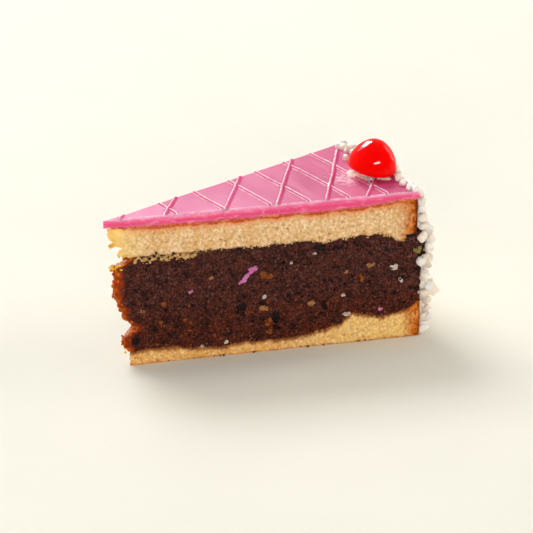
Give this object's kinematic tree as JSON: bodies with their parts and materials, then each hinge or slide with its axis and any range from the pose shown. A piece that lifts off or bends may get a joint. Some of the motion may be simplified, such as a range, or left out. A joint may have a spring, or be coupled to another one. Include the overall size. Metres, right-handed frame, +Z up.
{
  "type": "slice of punch cake",
  "caption": "Wedge of round layer cake: thin sponge, thick dark punch filling, sponge, jam and latticed pink icing, nut nibs on its round side and a glace cherry on top.",
  "frame": {"origin": "middle of the slice's base, under the middle of its bounding box", "axes": "+X from the tip to the round rim along the slice's middle line, +Y to the left of that, +Z up"},
  "size_m": [0.1302, 0.0642, 0.0756],
  "materials": {
    "icing": "satin pink poured icing",
    "jam": "glossy red-orange jam",
    "sponge": "matt yellow crumb with a browned rim",
    "filling": "moist dark brown crumb",
    "nibs": "off-white nut nibs",
    "cherry": "glossy see-through red",
    "cream": "soft off-white"
  },
  "bodies": {
    "root": {"icing_sheet": "icing", "jam_layer": "jam", "upper_sponge": "sponge", "punch_filling": "filling", "lower_sponge": "sponge", "rim_coat": "nibs", "glace_cherry": "cherry", "cherry_dab": "cream"}
  },
  "joints": []
}
